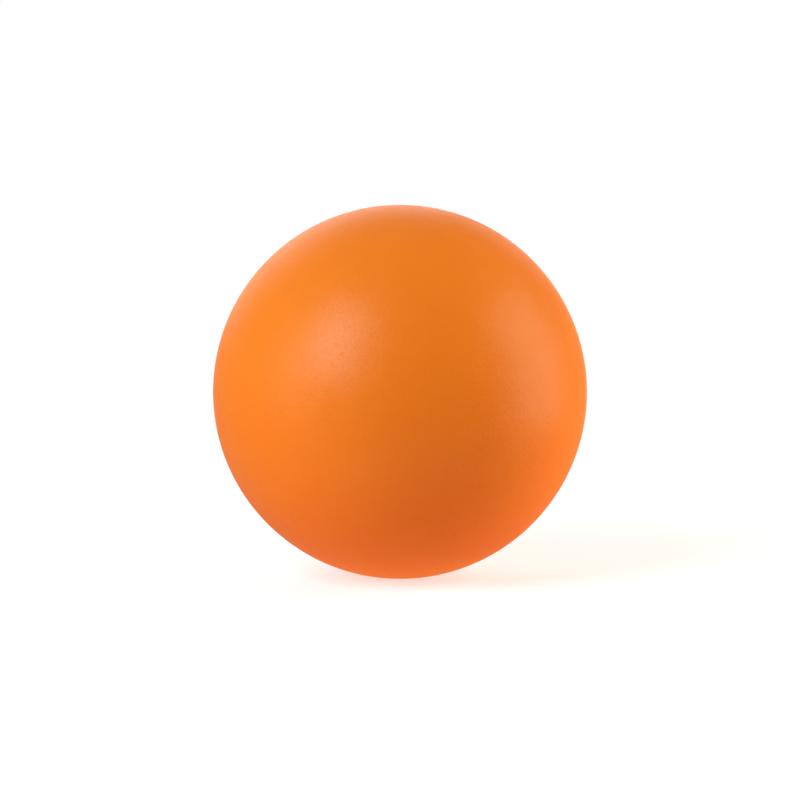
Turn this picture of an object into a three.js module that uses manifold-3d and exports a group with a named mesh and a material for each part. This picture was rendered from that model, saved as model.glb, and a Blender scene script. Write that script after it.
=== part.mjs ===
import * as THREE from 'three';
import { mergeVertices } from 'three/addons/utils/BufferGeometryUtils.js';
import Module from 'manifold-3d';

// Small soft ball for floor exercises: a thin vinyl skin blown up round, a valve bush moulded into its back,
// and a push-in stopper that keeps the air in.
// Millimetres, +Z up. The ball rests on the origin, its front faces -Y, and the valve points along +Y.

// The ball
const ballDiameter = 250;
const skinThickness = 0.7;
const contactDiameter = 32; // flat that the soft skin makes on the floor under the ball's weight
const fitGap = 0.3; // clearance between neighbouring pieces

// The valve bush
const seatRimWidth = 2.6; // ring of the bush that shows around the stopper's head
const headRecessDepth = 1.4;
const seatFloorThickness = 1.2; // under the recess for the head
const flangeOverlap = 6; // how far the flange reaches under the skin
const flangeRimThickness = 0.8;
const boreDiameter = 5.4;
const boreLeadIn = 0.5; // bevel at the mouth of the bore
const neckLength = 15; // from the face of the valve to the inner end of the neck
const neckWall = 3;
const neckTaper = 0.8; // narrowing of the neck's radius towards its inner end
const neckEndRadius = 0.7;
const neckRootRadius = 1.2;

// The stopper
const headDiameter = 11.6;
const headThickness = 1.7;
const headEdgeRadius = 0.5;
const gateDimpleDiameter = 2.6; // mark of the moulding gate in the middle of the head
const gateDimpleDepth = 0.35;
const stemLength = 19;
const tipLength = 3.2;
const tipTaper = 0.7; // narrowing of the stem's radius along the tip
const tipBevel = 0.4;
const beadHeight = 0.35; // sealing beads around the stem
const beadWidth = 1.5;
const beadPitch = 3.4;
const beadInset = 2.6; // from the mouth of the bore to the first bead

// Facets
const ballSegments = 48;
const valveSegments = 32;
const flangeRingSteps = 3;
const backRingSteps = 10; // from the flange to the widest ring
const frontRingSteps = 12; // from the widest ring to the front
const arcSteps = 4;
const beadSteps = 4;

// Radii and heights that follow from the driving dimensions, along the valve's axis from the ball's centre
const ballRadius = ballDiameter / 2;
const innerRadius = ballRadius - skinThickness;
const contactHeight = Math.sqrt(ballRadius ** 2 - (contactDiameter / 2) ** 2);
const boreRadius = boreDiameter / 2;
const headRadius = headDiameter / 2;
const recessRadius = headRadius + fitGap;
const faceRadius = recessRadius + seatRimWidth;
const holeRadius = faceRadius + fitGap;
const flangeRadius = holeRadius + flangeOverlap;
const flangeTopRadius = innerRadius - fitGap; // sphere that the top of the flange follows
const faceHeight = heightOnSphere(ballRadius, faceRadius);
const recessHeight = faceHeight - headRecessDepth;

const vinyl = new THREE.MeshStandardMaterial({ color: 0xec7620, roughness: 0.45, metalness: 0 });
const whitePlastic = new THREE.MeshStandardMaterial({ color: 0xf1f0ea, roughness: 0.4, metalness: 0 });

const wasm = await Module();
wasm.setup();

// Height over the centre at which a sphere has the given radius about the valve's axis
function heightOnSphere(sphereRadius, radius) {
  return Math.sqrt(sphereRadius ** 2 - radius ** 2);
}

// Closed solid of a geometry, with one vertex at each corner and no slivers at the poles
function solidOf(geometry) {
  geometry.deleteAttribute('normal');
  geometry.deleteAttribute('uv');
  const welded = mergeVertices(geometry);
  const corners = welded.index.array;
  const triVerts = [];
  for (let i = 0; i < corners.length; i += 3) {
    const [a, b, c] = corners.slice(i, i + 3);
    if (a !== b && b !== c && c !== a) {
      triVerts.push(a, b, c);
    }
  }
  const vertProperties = welded.attributes.position.array;
  const mesh = new wasm.Mesh({ numProp: 3, vertProperties, triVerts: new Uint32Array(triVerts) });
  return new wasm.Manifold(mesh);
}

function geometryOf(solid) {
  const { vertProperties, triVerts } = solid.getMesh();
  const geometry = new THREE.BufferGeometry();
  geometry.setAttribute('position', new THREE.BufferAttribute(vertProperties, 3));
  geometry.setIndex(new THREE.BufferAttribute(triVerts, 1));
  geometry.computeVertexNormals();
  return geometry;
}

function namedMesh(name, solid, material) {
  const mesh = new THREE.Mesh(geometryOf(solid), material);
  mesh.name = name;
  return mesh;
}

// Points of an arc about (x, y), from one angle to another in degrees, both ends included
function arc(x, y, radius, fromDegrees, toDegrees, steps = arcSteps) {
  return Array.from({ length: steps + 1 }, (_, i) => {
    const angle = THREE.MathUtils.degToRad(THREE.MathUtils.lerp(fromDegrees, toDegrees, i / steps));
    return new THREE.Vector2(x + radius * Math.cos(angle), y + radius * Math.sin(angle));
  });
}

// Sphere turned about the valve's axis, with a ring at its widest. The rings lie closer together over the
// flange of the valve, where the facets of the skin have to stay clear of it.
function ballSolid(radius) {
  const flangeEdge = 90 - THREE.MathUtils.radToDeg(Math.asin(flangeRadius / flangeTopRadius));
  const profile = [
    ...arc(0, 0, radius, -90, 0, frontRingSteps),
    ...arc(0, 0, radius, 0, flangeEdge, backRingSteps).slice(1),
    ...arc(0, 0, radius, flangeEdge, 90, flangeRingSteps).slice(1),
  ];
  return solidOf(new THREE.LatheGeometry(profile, ballSegments));
}

// Everything below a height, to cut the ball flat where it rests
function blockBelow(height) {
  const block = new THREE.BoxGeometry(ballDiameter, ballDiameter, ballDiameter);
  return solidOf(block.translate(0, 0, height - ballRadius));
}

// Thin skin of even thickness, flat where it rests, with a round hole for the valve
function ballSkin() {
  const outside = ballSolid(ballRadius).subtract(blockBelow(-contactHeight));
  const inside = ballSolid(innerRadius).subtract(blockBelow(skinThickness - contactHeight));
  const hole = new THREE.CylinderGeometry(holeRadius, holeRadius, ballRadius, ballSegments);
  return outside.subtract(inside).subtract(solidOf(hole.translate(0, ballRadius, 0)));
}

// Bush of the valve: a rim level with the skin, a flange that follows the inside of the skin and thins out
// to its edge, and a tapered neck with the bore
function valveSeat() {
  const neckRoot = boreRadius + neckWall;
  const neckEnd = neckRoot - neckTaper;
  const neckEndHeight = faceHeight - neckLength;
  const undersideHeight = recessHeight - seatFloorThickness;
  const flangeEdgeHeight = heightOnSphere(flangeTopRadius, flangeRadius);
  const endRadius = Math.min(neckEndRadius, neckWall - neckTaper);
  const rootStart = neckRoot + neckRootRadius;
  const topStart = Math.asin(flangeRadius / flangeTopRadius);
  const topEnd = Math.asin(faceRadius / flangeTopRadius);
  const toDegrees = (fromAxis) => 90 - THREE.MathUtils.radToDeg(fromAxis);
  const profile = [
    new THREE.Vector2(boreRadius, neckEndHeight),
    ...arc(neckEnd - endRadius, neckEndHeight + endRadius, endRadius, -90, 0),
    ...arc(rootStart, undersideHeight - neckRootRadius, neckRootRadius, 180, 90),
    new THREE.Vector2(flangeRadius, flangeEdgeHeight - flangeRimThickness),
    ...arc(0, 0, flangeTopRadius, toDegrees(topStart), toDegrees(topEnd)),
    new THREE.Vector2(faceRadius, faceHeight),
    new THREE.Vector2(recessRadius, faceHeight),
    new THREE.Vector2(recessRadius, recessHeight),
    new THREE.Vector2(boreRadius + boreLeadIn, recessHeight),
    new THREE.Vector2(boreRadius, recessHeight - boreLeadIn),
    new THREE.Vector2(boreRadius, neckEndHeight),
  ];
  return solidOf(new THREE.LatheGeometry(profile, valveSegments));
}

// Stopper: a flat head with a rounded edge and a gate mark, and a stem with sealing beads and a tapered tip.
// As many beads are set along the stem as the bore has room for.
function stopper() {
  const headBottom = recessHeight + fitGap;
  const headTop = headBottom + headThickness;
  const edgeRadius = Math.min(headEdgeRadius, headThickness / 2);
  const beadRadius = boreRadius - fitGap;
  const stemRadius = beadRadius - beadHeight;
  const tipRadius = stemRadius - tipTaper;
  const stemEnd = headBottom - stemLength;
  const tipStart = stemEnd + tipLength;
  const neckEndHeight = faceHeight - neckLength;
  const sealingLength = recessHeight - Math.max(tipStart, neckEndHeight);
  const beadCount = Math.floor((sealingLength - beadInset) / beadPitch);
  const bevel = Math.min(tipBevel, tipRadius);
  const profile = [
    new THREE.Vector2(0, stemEnd),
    new THREE.Vector2(tipRadius - bevel, stemEnd),
    new THREE.Vector2(tipRadius, stemEnd + bevel),
    new THREE.Vector2(stemRadius, tipStart),
  ];
  for (let i = beadCount - 1; i >= 0; i--) {
    const beadHeightOnAxis = recessHeight - beadInset - i * beadPitch;
    for (let step = 0; step <= beadSteps; step++) {
      const turn = (Math.PI * step) / beadSteps;
      const radius = stemRadius + beadHeight * Math.sin(turn);
      profile.push(new THREE.Vector2(radius, beadHeightOnAxis - (beadWidth / 2) * Math.cos(turn)));
    }
  }
  profile.push(new THREE.Vector2(stemRadius, headBottom));
  profile.push(...arc(headRadius - edgeRadius, headBottom + edgeRadius, edgeRadius, -90, 0));
  profile.push(...arc(headRadius - edgeRadius, headTop - edgeRadius, edgeRadius, 0, 90));
  profile.push(new THREE.Vector2(gateDimpleDiameter / 2, headTop));
  profile.push(new THREE.Vector2(0, headTop - gateDimpleDepth));
  return solidOf(new THREE.LatheGeometry(profile, valveSegments));
}

const ball = new THREE.Group();
ball.add(namedMesh('ball_skin', ballSkin(), vinyl));
ball.add(namedMesh('valve_seat', valveSeat(), vinyl));
ball.add(namedMesh('stopper', stopper(), whitePlastic));
ball.position.z = contactHeight;

export default ball;
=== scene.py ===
import math

import bpy
import numpy as np
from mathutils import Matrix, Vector


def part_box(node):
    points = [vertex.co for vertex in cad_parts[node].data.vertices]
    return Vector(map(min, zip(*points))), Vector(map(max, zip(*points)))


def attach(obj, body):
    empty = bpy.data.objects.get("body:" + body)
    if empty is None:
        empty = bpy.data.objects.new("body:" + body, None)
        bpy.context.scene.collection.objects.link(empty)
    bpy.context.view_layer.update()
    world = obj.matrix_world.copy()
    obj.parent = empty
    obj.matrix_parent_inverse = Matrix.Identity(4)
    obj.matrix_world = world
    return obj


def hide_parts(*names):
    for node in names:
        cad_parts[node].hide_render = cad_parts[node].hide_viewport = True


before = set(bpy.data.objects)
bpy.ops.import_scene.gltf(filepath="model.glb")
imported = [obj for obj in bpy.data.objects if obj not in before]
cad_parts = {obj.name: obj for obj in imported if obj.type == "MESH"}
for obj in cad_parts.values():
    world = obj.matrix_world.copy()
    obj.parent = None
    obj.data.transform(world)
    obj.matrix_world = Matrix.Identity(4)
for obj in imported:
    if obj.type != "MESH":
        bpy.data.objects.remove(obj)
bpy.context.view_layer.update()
mm = 0.001
tolerance = 0.01 * mm       # for telling which packed points lie on a face

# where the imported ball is, and how big: everything below hangs on these
skinLow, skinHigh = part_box("ball_skin")
ballRadius = (skinHigh.x - skinLow.x) / 2
ballCentre = Vector((0, 0, skinHigh.z - ballRadius))


def polarPoints(node):
    # a node's points as radius about the valve's axis and height along it
    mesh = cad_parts[node].data
    points = np.empty(len(mesh.vertices) * 3, np.float32)
    mesh.vertices.foreach_get("co", points)
    x, y, z = points.reshape(-1, 3).T.astype(float)
    return np.hypot(x, z - ballCentre.z), y


# the valve's fits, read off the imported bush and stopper
seatRadius, seatHeight = polarPoints("valve_seat")
plugRadius, plugHeight = polarPoints("stopper")
faceHeight = seatHeight.max()
onFace = seatRadius[seatHeight > faceHeight - tolerance]
rimRadius, recessRadius = onFace.max(), onFace.min()
recessFloor = seatHeight[np.abs(seatRadius - recessRadius) < tolerance].min()
boreRadius, flangeRadius = seatRadius.min(), seatRadius.max()
neckEnd = seatHeight.min()
headRadius = plugRadius.max()
headTop, stemTip = plugHeight.max(), plugHeight.min()
clearance = recessRadius - headRadius
print("frame: ball", round(2 * ballRadius / mm, 1), "mm, valve face", round(2 * rimRadius / mm, 1), "mm")


# profiles, grids and meshes
def spoke(angle):
    # (radius, height) of a unit step at an angle from the valve's axis
    return np.stack([np.sin(angle), np.cos(angle)], axis=-1)


def rounded(corners, steps=6):
    # path through (radius, height, rounding) corners. A rounding makes its corner an arc of that radius,
    # swung about the arc's middle from the point where it leaves one side to where it meets the next
    path = []
    for i, (r, h, rounding) in enumerate(corners):
        corner = np.array([r, h])
        if rounding == 0:
            path.append(corner[None])
            continue
        back = np.array(corners[i - 1][:2]) - corner
        ahead = np.array(corners[i + 1][:2]) - corner
        back, ahead = back / np.linalg.norm(back), ahead / np.linalg.norm(ahead)
        half = math.acos(np.clip(back @ ahead, -1, 1)) / 2
        middle = corner + (back + ahead) / np.linalg.norm(back + ahead) * rounding / math.sin(half)
        start = corner + back * rounding / math.tan(half) - middle
        end = corner + ahead * rounding / math.tan(half) - middle
        turn = math.pi - 2 * half
        t = np.linspace(0, 1, steps)[:, None]
        path.append(middle + (np.sin((1 - t) * turn) * start + np.sin(t * turn) * end) / math.sin(turn))
    return np.vstack(path)


def around(columns):
    # evenly spaced angles, once round
    return np.linspace(0, 2 * math.pi, columns, endpoint=False)


def turned(profile, columns):
    # each (radius, height) of the profile goes once round the valve's axis:
    # x = radius sin a, y = height, z = centre + radius cos a, as an array of rings by columns by 3
    angle = around(columns)
    radius, height = profile[:, :1], profile[:, 1:]
    across, upward = radius * np.sin(angle), radius * np.cos(angle)
    return np.stack([across, height + 0 * angle, ballCentre.z + upward], axis=-1)


def newObject(name, points, faces):
    mesh = bpy.data.meshes.new(name)
    mesh.from_pydata(points.tolist(), [], faces)
    made = bpy.data.objects.new(name, mesh)
    bpy.context.scene.collection.objects.link(made)
    return made


def gridPiece(name, grid, closed):
    # rings joined by quads. Closed: the last ring joins the first. Open: the end rings are single points
    columns = grid.shape[1]
    if closed:
        points = grid.reshape(-1, 3)
        ring = np.arange(len(points)).reshape(-1, columns)
        ring = np.vstack([ring, ring[:1]])
        caps = []
    else:
        points = np.vstack([grid[:1, 0], grid[1:-1].reshape(-1, 3), grid[-1:, 0]])
        ring = np.arange(1, len(points) - 1).reshape(-1, columns)
        first, last = ring[0], ring[-1]
        start = np.stack([0 * first, np.roll(first, -1), first], axis=-1)
        end = np.stack([last, np.roll(last, -1), 0 * last + len(points) - 1], axis=-1)
        caps = start.tolist() + end.tolist()
    nextColumn = np.roll(ring, -1, axis=1)
    quads = np.stack([ring[:-1], nextColumn[:-1], nextColumn[1:], ring[1:]], axis=-1)
    piece = newObject(name, points, quads.reshape(-1, 4).tolist() + caps)
    piece.data.shade_smooth()
    return piece


def place(piece, body, node, material):
    piece.data.materials.append(material)
    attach(piece, body)
    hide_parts(node)


# materials
class Wire:
    # one socket of a node tree, so that shader sums can be written as they are
    def __init__(self, tree, socket=None):
        self.tree = tree
        self.socket = socket

    def node(self, kind, settings, inputs, output=0):
        # new node of this kind, with its settings made first, then values or wires put into its sockets
        made = self.tree.nodes.new(kind)
        for key, value in settings.items():
            setattr(made, key, value)
        for key, value in inputs.items():
            if isinstance(value, Wire):
                self.tree.links.new(value.socket, made.inputs[key])
            else:
                made.inputs[key].default_value = value
        return Wire(self.tree, made.outputs[output])

    def maths(self, operation, first, second=0.0):
        return self.node("ShaderNodeMath", {"operation": operation}, {0: first, 1: second})

    def __add__(self, other):
        return self.maths("ADD", self, other)

    def __sub__(self, other):
        return self.maths("SUBTRACT", self, other)

    def __rsub__(self, other):
        return self.maths("SUBTRACT", other, self)

    def __mul__(self, other):
        return self.maths("MULTIPLY", self, other)

    __radd__ = __add__
    __rmul__ = __mul__

    def mixed(self, first, second):
        # colour between first, where the wire is 0, and second, where it is 1
        return self.node("ShaderNodeMix", {"data_type": "RGBA"}, {0: self, 6: first, 7: second}, 2)

    def length(self):
        return self.node("ShaderNodeVectorMath", {"operation": "LENGTH"}, {0: self}, "Value")

    def noise(self, size, **inputs):
        # noise with features about this big, in metres, on the wire's coordinates
        return self.node("ShaderNodeTexNoise", {}, {"Vector": self, "Scale": 1 / size, **inputs})

    def swing(self, amount):
        # up to half of the amount either way, as the wire goes from 0 to 1
        return amount * (self - 0.5)

    def fade(self, start, end, low, high):
        # low up to the start, high from the end on, and a smooth step between
        return self.node("ShaderNodeMapRange", {"interpolation_type": "SMOOTHSTEP"},
                         {0: self, 1: start, 2: end, 3: low, 4: high})

    def bump(self, depth, **inputs):
        return self.node("ShaderNodeBump", {}, {"Height": self, "Distance": depth, **inputs})


def newMaterial(name, sockets):
    # material with these constants on its shader, and a wire of the piece's own coordinates
    material = bpy.data.materials.new(name)
    material.use_nodes = True
    shader = material.node_tree.nodes["Principled BSDF"]
    for key, value in sockets.items():
        shader.inputs[key].default_value = value
    point = Wire(material.node_tree).node("ShaderNodeTexCoord", {}, {}, "Object")
    return material, shader, point


def feed(node, wires):
    for key, wire in wires.items():
        wire.tree.links.new(wire.socket, node.inputs[key])


def offMiddle(point):
    # distance from the upright plane through the ball's centre, square to the valve's axis
    along = point.node("ShaderNodeSeparateXYZ", {}, {0: point}, "Y")
    return along.maths("ABSOLUTE", along)


def fromAxis(point):
    # distance from the valve's axis: length of the offset from the ball's centre, flattened along the axis
    inputs = {"Vector": point, "Location": (0, 0, -ballCentre.z), "Scale": (1, 0, 1)}
    return point.node("ShaderNodeMapping", {}, inputs).length()


def turningMarks(away, pitch):
    # fine rings about the valve's axis, left by the turned mould: a sine of the distance from the axis
    return away.maths("SINE", away * (2 * math.pi / pitch))


satinVinyl = {
    "deep": (0.76, 0.166, 0.0076, 1), "bright": (0.82, 0.191, 0.0100, 1),   # pigment, unevenly stirred in
    "streak": {"size": 60 * mm, "Detail": 5.0, "Roughness": 0.6, "Distortion": 0.8},
    "fleck": {"size": 1.1 * mm, "Detail": 2.0},
    "fleckShare": 0.25, "fleckRise": 0.5,                   # flecks in the pigment and in the grain
    "rub": {"size": 12 * mm, "Detail": 6.0, "Roughness": 0.7},
    "roughness": 0.36, "rubRoughness": 0.10, "fleckRoughness": 0.06,
    "grain": 1.5 * mm, "grainDepth": 0.085 * mm,            # low pebbles of the mould's matt grain
    "polish": 0.225, "gapPolish": 0.45, "rubPolish": 0.8,   # share that shines, less between the pebbles
    "ripple": {"size": 14 * mm, "Detail": 1.0},             # soft unevenness of the blown skin
    "rippleDepth": 0.06 * mm,
    "seamStart": 0.3 * mm, "seamEnd": 0.9 * mm,             # parting line, smooth and deeper in colour
    "seamColour": (0.62, 0.125, 0.008, 1), "seamShare": 0.3, "seamPolish": 0.15,
    "satin": {"Specular IOR Level": 1.0, "IOR": 1.5},
    "matt": {"Specular IOR Level": 0.0, "Roughness": 0.9},
}


def satinVinylMaterial():
    # a matt and a satin shader with one colour and grain, mixed by the polish of each spot
    v = satinVinyl
    material, shader, point = newMaterial("satinVinyl", v["satin"])
    streak, fleck, rub = (point.noise(**v[name]) for name in ("streak", "fleck", "rub"))
    seam = offMiddle(point).fade(v["seamStart"], v["seamEnd"], 1.0, 0.0)
    stirred = (1 - v["fleckShare"]) * streak + v["fleckShare"] * fleck
    pigment = stirred.mixed(v["deep"], v["bright"])
    colour = (v["seamShare"] * seam).mixed(pigment, v["seamColour"])
    roughness = v["roughness"] + rub.swing(v["rubRoughness"]) + fleck.swing(v["fleckRoughness"])
    ripple = point.noise(**v["ripple"]).bump(v["rippleDepth"])
    fromMiddle = point.node("ShaderNodeTexVoronoi", {}, {"Vector": point, "Scale": 1 / v["grain"]})
    pebble = 1 - fromMiddle * fromMiddle
    height = (pebble + v["fleckRise"] * fleck) * (1 - seam)
    normal = height.bump(v["grainDepth"], Normal=ripple)
    feed(shader, {"Base Color": colour, "Roughness": roughness, "Normal": normal})
    satin = Wire(point.tree, shader.outputs["BSDF"])
    matt = point.node("ShaderNodeBsdfPrincipled", {}, {"Base Color": colour, "Normal": normal, **v["matt"]})
    tops = v["gapPolish"] + (1 - v["gapPolish"]) * pebble
    polish = v["polish"] * tops * (1 + rub.swing(v["rubPolish"])) + v["seamPolish"] * seam
    both = polish.node("ShaderNodeMixShader", {}, {0: polish, 1: matt, 2: satin})
    feed(point.tree.nodes["Material Output"], {"Surface": both})
    return material


mouldedVinyl = {
    "deep": (0.70, 0.152, 0.010, 1), "bright": (0.79, 0.186, 0.014, 1),
    "cloud": {"size": 5 * mm, "Detail": 4.0, "Roughness": 0.6},
    "pit": {"size": 0.5 * mm, "Detail": 3.0}, "pitDepth": 0.02 * mm,
    "ringPitch": 0.45 * mm, "ringDepth": 0.008 * mm,
    "roughness": 0.42, "pitRoughness": 0.16,
    "sockets": {"Specular IOR Level": 0.16, "IOR": 1.5},
}


def mouldedVinylMaterial():
    # clouded pigment, fine pits and turning marks
    v = mouldedVinyl
    material, shader, point = newMaterial("mouldedVinyl", v["sockets"])
    cloud, pit = point.noise(**v["cloud"]), point.noise(**v["pit"])
    rings = turningMarks(fromAxis(point), v["ringPitch"]).bump(v["ringDepth"])
    feed(shader, {
        "Base Color": cloud.mixed(v["deep"], v["bright"]),
        "Roughness": v["roughness"] + pit.swing(v["pitRoughness"]),
        "Normal": pit.bump(v["pitDepth"], Normal=rings),
    })
    return material


milkyPlastic = {
    "deep": (0.72, 0.71, 0.67, 1), "bright": (0.82, 0.81, 0.78, 1),
    "flow": {"size": 4 * mm, "Detail": 3.0, "Distortion": 1.5},
    "pit": {"size": 0.35 * mm, "Detail": 3.0}, "pitDepth": 0.008 * mm,
    "ringPitch": 0.6 * mm, "ringDepth": 0.006 * mm,
    "grime": (0.50, 0.44, 0.36, 1), "grimeShare": 0.5,      # handling dirt, held by the edge of the head
    "grimeStart": headRadius - 1.0 * mm, "grimeEnd": headRadius + 0.1 * mm,
    "roughness": 0.38, "pitRoughness": 0.18,
    "sockets": {"Specular IOR Level": 0.4, "IOR": 1.51, "Subsurface Weight": 0.2,
                "Subsurface Radius": (1.0, 0.9, 0.75), "Subsurface Scale": 1.2 * mm},
}


def milkyPlasticMaterial():
    # cloudy flow in the plastic, fine pits, turning marks and dirt at the head's edge
    v = milkyPlastic
    material, shader, point = newMaterial("milkyPlastic", v["sockets"])
    flow, pit = point.noise(**v["flow"]), point.noise(**v["pit"])
    away = fromAxis(point)
    edge = away.fade(v["grimeStart"], v["grimeEnd"], 0.0, v["grimeShare"])
    clean = flow.mixed(v["deep"], v["bright"])
    rings = turningMarks(away, v["ringPitch"]).bump(v["ringDepth"])
    feed(shader, {
        "Base Color": (edge * flow).mixed(clean, v["grime"]),
        "Roughness": v["roughness"] + pit.swing(v["pitRoughness"]),
        "Normal": pit.bump(v["pitDepth"], Normal=rings),
    })
    return material


# the blown-up skin
skin = {
    "columns": 320, "outerRings": 150, "innerRings": 44,
    "thickness": 0.7 * mm,
    "edgeGap": 0.06 * mm, "edgeRound": 0.3 * mm, "edgeRings": 5,           # its end against the valve's rim
    "seamHeight": 0.10 * mm, "seamWidth": 0.5 * mm, "seamRings": 17,       # parting line, halfway round
    "flangeShow": 0.14 * mm, "flangeBlend": 1.4 * mm, "flangeRings": 18,   # valve's flange showing through
    "detailReach": 4,                   # widths of the line and blends of the flange that get closer rings
    "restSoftness": 0.3 * mm,           # how gently the foot of the ball turns flat
}


def skinProfile():
    # outside from the front to the valve, round the edge of the hole, and inside back to the front.
    # An angle from the valve's axis gives (R sin, R cos). Outside, R is the ball's radius plus a bell curve
    # for the parting line and a soft step over the flange. Each ring also has the height that it rests at
    s = skin
    holeRadius = rimRadius + s["edgeGap"]
    edge = math.asin((holeRadius + s["edgeRound"]) / ballRadius)
    seamReach = s["detailReach"] * s["seamWidth"] / ballRadius
    flangeReach = (flangeRadius + s["detailReach"] * s["flangeBlend"]) / ballRadius
    angle = np.unique(np.concatenate([
        np.linspace(edge, math.pi, s["outerRings"]),
        math.pi / 2 + np.linspace(-seamReach, seamReach, s["seamRings"]),
        np.linspace(edge, flangeReach, s["flangeRings"]),
    ]))[::-1]
    pastFlange = (ballRadius * np.sin(angle) - flangeRadius) / s["flangeBlend"]
    lift = np.where(angle < math.pi / 2, s["flangeShow"] * (1 - np.tanh(pastFlange)) / 2, 0)
    seam = s["seamHeight"] * np.exp(-(ballRadius * np.cos(angle) / s["seamWidth"]) ** 2)
    outer = (ballRadius + lift + seam)[:, None] * spoke(angle)
    lipMiddle = (holeRadius + s["edgeRound"], outer[-1, 1] - s["edgeRound"])
    lip = lipMiddle + s["edgeRound"] * spoke(np.linspace(0, -math.pi / 2, s["edgeRings"] + 1)[1:])
    innerRadius = ballRadius - s["thickness"]
    innerStart = math.asin(holeRadius / innerRadius)
    inner = innerRadius * spoke(np.linspace(innerStart, math.pi, s["innerRings"]))
    outer[0, 0] = inner[-1, 0] = 0          # the poles lie on the axis
    rest = np.repeat([0, s["thickness"]], [len(outer) + len(lip), len(inner)])
    return np.vstack([outer, lip, inner]), rest


def buildSkin(material):
    # turned about the valve's axis, then pressed flat on the floor: z becomes the smooth maximum
    # of itself and the height f that its ring rests at, (z + f + sqrt((z - f)^2 + softness^2)) / 2
    profile, rest = skinProfile()
    grid = turned(profile, skin["columns"])
    z, f = grid[..., 2], rest[:, None]
    grid[..., 2] = (z + f + np.sqrt((z - f) ** 2 + skin["restSoftness"] ** 2)) / 2
    piece = gridPiece("blownSkin", grid, closed=False)
    place(piece, "ball", "ball_skin", material)
    print("skin:", len(piece.data.polygons), "faces")


# the valve's bush
bush = {
    "columns": 128,
    "floor": 1.2 * mm,                     # under the recess for the stopper's head
    "flangeRim": 0.8 * mm,
    "neckWall": 3 * mm, "neckTaper": 0.8 * mm,
    "leadIn": 0.5 * mm,                    # bevel at the mouth of the bore
    "rimRound": 0.25 * mm, "edgeRound": 0.2 * mm, "rootRound": 1.2 * mm, "endRound": 0.7 * mm,
}


def buildBush(material):
    # section of neck, flange, rim, recess and bore, closed along the bore and turned about the valve's axis
    b = bush
    underSkin = ballRadius - skin["thickness"] - clearance          # sphere that the flange follows
    flangeTop = math.sqrt(underSkin ** 2 - flangeRadius ** 2)
    shoulder = math.sqrt(underSkin ** 2 - rimRadius ** 2)
    neckRoot = boreRadius + b["neckWall"]
    boreThird = (recessFloor - neckEnd) / 3
    profile = rounded([
        (boreRadius, neckEnd + boreThird, 0),
        (boreRadius, neckEnd, b["edgeRound"]),
        (neckRoot - b["neckTaper"], neckEnd, b["endRound"]),
        (neckRoot, recessFloor - b["floor"], b["rootRound"]),
        (flangeRadius, flangeTop - b["flangeRim"], b["edgeRound"]),
        (flangeRadius, flangeTop, b["edgeRound"]),
        (rimRadius, shoulder, b["edgeRound"]),
        (rimRadius, faceHeight, b["rimRound"]),
        (recessRadius, faceHeight, b["rimRound"]),
        (recessRadius, recessFloor, b["edgeRound"]),
        (boreRadius + b["leadIn"], recessFloor, b["edgeRound"]),
        (boreRadius, recessFloor - b["leadIn"], b["edgeRound"]),
        (boreRadius, recessFloor - boreThird, 0),
    ])
    piece = gridPiece("valveBush", turned(profile, b["columns"]), closed=True)
    place(piece, "ball", "valve_seat", material)
    print("valve bush:", len(piece.data.polygons), "faces")


# the stopper
plug = {
    "columns": 96,
    "headThickness": 1.7 * mm, "headRound": 0.5 * mm, "rootRound": 0.25 * mm,
    "dishRadius": 4.3 * mm, "dishDepth": 0.16 * mm,       # shallow dish in the top of the head
    "gateRadius": 1.2 * mm, "gateDepth": 0.3 * mm,        # mark of the moulding gate
    "tipLength": 3.2 * mm, "tipTaper": 0.7 * mm, "tipRound": 0.4 * mm,
    "beads": 3, "beadRings": 11, "beadPower": 0.7,        # sealing beads, a little fuller than a cosine
    "beadHeight": 0.35 * mm, "beadWidth": 1.5 * mm, "beadPitch": 3.4 * mm, "beadInset": 2.6 * mm,
    "flashHeight": 0.05 * mm, "flashWidth": 0.05,         # parting lines along the stem, width in radians
}


def buildStopper(material):
    # tip, beaded stem and dished head turned about the valve's axis. A bead swells by its height times
    # a power of the cosine across it, and bell curves at the two sides of the stem add its parting lines
    p = plug
    headBottom = headTop - p["headThickness"]
    dishFloor = headTop - p["dishDepth"]
    stemRadius = boreRadius - clearance - p["beadHeight"]
    tipTop = stemTip + p["tipLength"]
    tip = rounded([
        (0, stemTip, 0),
        (stemRadius - p["tipTaper"], stemTip, p["tipRound"]),
        (stemRadius, tipTop, p["tipRound"]),
        (stemRadius, tipTop + p["tipRound"], 0),
    ])
    across = np.linspace(-0.5, 0.5, p["beadRings"])
    middles = recessFloor - p["beadInset"] - p["beadPitch"] * np.arange(p["beads"])[::-1]
    height = (middles[:, None] + p["beadWidth"] * across).ravel()
    swell = p["beadHeight"] * np.cos(math.pi * across) ** p["beadPower"]
    beads = np.stack([stemRadius + np.tile(swell, p["beads"]), height], axis=-1)
    head = rounded([
        (stemRadius, headBottom - p["headRound"], 0),
        (stemRadius, headBottom, p["rootRound"]),
        (headRadius, headBottom, p["headRound"]),
        (headRadius, headTop, p["headRound"]),
        (p["dishRadius"], headTop, p["dishDepth"]),
        (p["dishRadius"] - p["dishDepth"], dishFloor, p["dishDepth"]),
        (p["gateRadius"], dishFloor, p["gateDepth"]),
        (0, dishFloor - p["gateDepth"], 0),
    ])
    profile = np.vstack([tip, beads, head])
    grid = turned(profile, p["columns"])
    angle = around(p["columns"])
    flash = p["flashHeight"] * np.exp(-(np.cos(angle) / p["flashWidth"]) ** 2)
    onStem = (profile[:, 1] < headBottom) & (profile[:, 0] > stemRadius / 2)
    grid[..., 0] += onStem[:, None] * flash * np.sign(np.sin(angle))
    piece = gridPiece("beadedStopper", grid, closed=False)
    place(piece, "stopper", "stopper", material)
    print("stopper:", len(piece.data.polygons), "faces")


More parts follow.
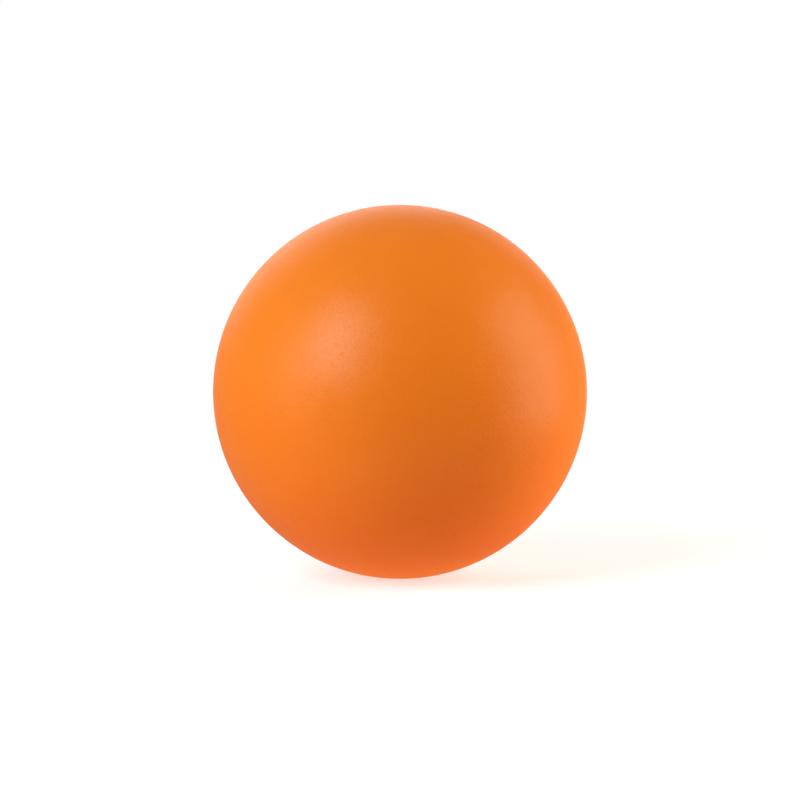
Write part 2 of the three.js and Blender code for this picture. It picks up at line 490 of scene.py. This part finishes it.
buildSkin(satinVinylMaterial())
buildBush(mouldedVinylMaterial())
buildStopper(milkyPlasticMaterial())


# camera: the ball's centre and radius as they stand in the photo's 800 by 800 pixels
shot = {
    "lens": 100, "sensor": 36, "elevation": 4,
    "imageSize": 800, "ballRow": 392, "ballRadius": 187,
}


def standAt(name, data, location, aim):
    # a camera or lamp at a place, looking at another
    holder = bpy.data.objects.new(name, data)
    holder.location = location
    holder.rotation_mode = "QUATERNION"
    holder.rotation_quaternion = (aim - location).to_track_quat("-Z", "Y")
    bpy.context.scene.collection.objects.link(holder)
    return holder


def buildCamera():
    # as far off as puts the ball's edge on its radius in the photo, and aimed to put its centre on its row
    c = shot
    camera = bpy.data.cameras.new("photoCamera")
    camera.lens, camera.sensor_width = c["lens"], c["sensor"]
    perPixel = c["sensor"] / c["lens"] / c["imageSize"]          # tangent of one pixel
    distance = ballRadius / math.sin(math.atan(perPixel * c["ballRadius"]))
    tilt = math.radians(c["elevation"])
    back = Vector((0, -math.cos(tilt), math.sin(tilt)))
    up = Vector((0, math.sin(tilt), math.cos(tilt)))
    aim = ballCentre - up * distance * perPixel * (c["imageSize"] / 2 - c["ballRow"])
    bpy.context.scene.camera = standAt("photoCamera", camera, ballCentre + back * distance, aim)
    print("camera:", round(distance, 3), "m from the ball")


# studio: soft boxes from both sides and behind, a pale floor, white all round
coolWhite = (0.92, 1.0, 1.0)
plainWhite = (1.0, 1.0, 1.0)
warmWhite = (1.0, 0.97, 0.72)
lamps = {
    "leftBox": {"azimuth": -42, "elevation": 31, "distance": 1.7, "size": (0.8, 1.2),
                "power": 28.5, "colour": coolWhite},
    "lowLeftBox": {"azimuth": -66, "elevation": 12, "distance": 1.7, "size": (0.9, 1.2),
                   "power": 7.5, "colour": coolWhite},
    "rightBox": {"azimuth": 90, "elevation": 14, "distance": 1.6, "size": (1.2, 1.7),
                 "power": 35.0, "colour": warmWhite},
    "rimBox": {"azimuth": -160, "elevation": 28, "distance": 1.5, "size": (1.4, 1.1),
               "power": 9.5, "colour": plainWhite},
    "backBox": {"azimuth": 180, "elevation": 12, "distance": 1.5, "size": (1.4, 1.1),
                "power": 9.0, "colour": plainWhite},
}
studio = {
    "fill": 0.03,                              # what the white surround gives as light
    "floorRadius": 1.0, "floorSides": 96,
    "fadeStart": 0.15, "fadeEnd": 0.70,        # the floor fades into the white between these
    "floor": (0.52, 0.52, 0.52, 1),            # as it is seen: pale,
    "floorGlow": (0.58, 0.58, 0.58, 1),        # and lifted to white by a glow
    "floorBounce": (0.45, 0.24, 0.20, 1),      # to the ball: a low warm bounce, which keeps its shade deep,
    "tableLight": (0.42, 0.34, 0.33, 1),       # and the light of a lit table,
    "footLight": (0.75, 0.84, 0.72, 1),        # which is brightest under the ball's foot
    "footStart": 0.03, "footEnd": 0.11,
    "sockets": {"Roughness": 0.9, "Specular IOR Level": 0.0, "Emission Strength": 1.0},
}


def buildLamps():
    # azimuth goes round from the front towards the right, elevation up from the level of the ball's centre
    for name, lamp in lamps.items():
        light = bpy.data.lights.new(name, "AREA")
        light.shape = "RECTANGLE"
        light.size, light.size_y = lamp["size"]
        light.energy = lamp["power"]
        light.color = lamp["colour"]
        a, e = math.radians(lamp["azimuth"]), math.radians(lamp["elevation"])
        way = Vector((math.sin(a) * math.cos(e), -math.cos(a) * math.cos(e), math.sin(e)))
        standAt(name, light, ballCentre + way * lamp["distance"], ballCentre)


def seenRays(tree):
    # 1 for what the camera sees, straight or mirrored or through something, and 0 for light on its way
    kinds = ("Is Camera Ray", "Is Glossy Ray", "Is Transmission Ray")
    return sum(Wire(tree).node("ShaderNodeLightPath", {}, {}, kind) for kind in kinds)


def buildWorld():
    # white to the camera and in reflections, and a plain fill for the rest
    world = bpy.data.worlds.new("studioWorld")
    world.use_nodes = True
    bpy.context.scene.world = world
    background = world.node_tree.nodes["Background"]
    background.inputs["Color"].default_value = (1, 1, 1, 1)
    feed(background, {"Strength": studio["fill"] + (1 - studio["fill"]) * seenRays(world.node_tree)})


def buildFloor():
    # flat disc that fades out into the white far from the ball, with one look when seen and another as light
    s = studio
    angle = around(s["floorSides"])
    points = s["floorRadius"] * np.stack([np.cos(angle), np.sin(angle), 0 * angle], axis=-1)
    floor = newObject("paleFloor", points, [list(range(s["floorSides"]))])
    material, shader, point = newMaterial("paleFloor", s["sockets"])
    away = point.length()
    seen = seenRays(point.tree)
    underFoot = away.fade(s["footStart"], s["footEnd"], 1.0, 0.0)
    light = underFoot.mixed(s["tableLight"], s["footLight"])
    feed(shader, {
        "Base Color": seen.mixed(s["floorBounce"], s["floor"]),
        "Emission Color": seen.mixed(light, s["floorGlow"]),
        "Alpha": away.fade(s["fadeStart"], s["fadeEnd"], 1.0, 0.0),
    })
    floor.data.materials.append(material)


buildCamera()
buildLamps()
buildWorld()
buildFloor()
bpy.context.scene.view_settings.view_transform = "Standard"
print("studio:", len(lamps), "soft boxes, floor and white surround")
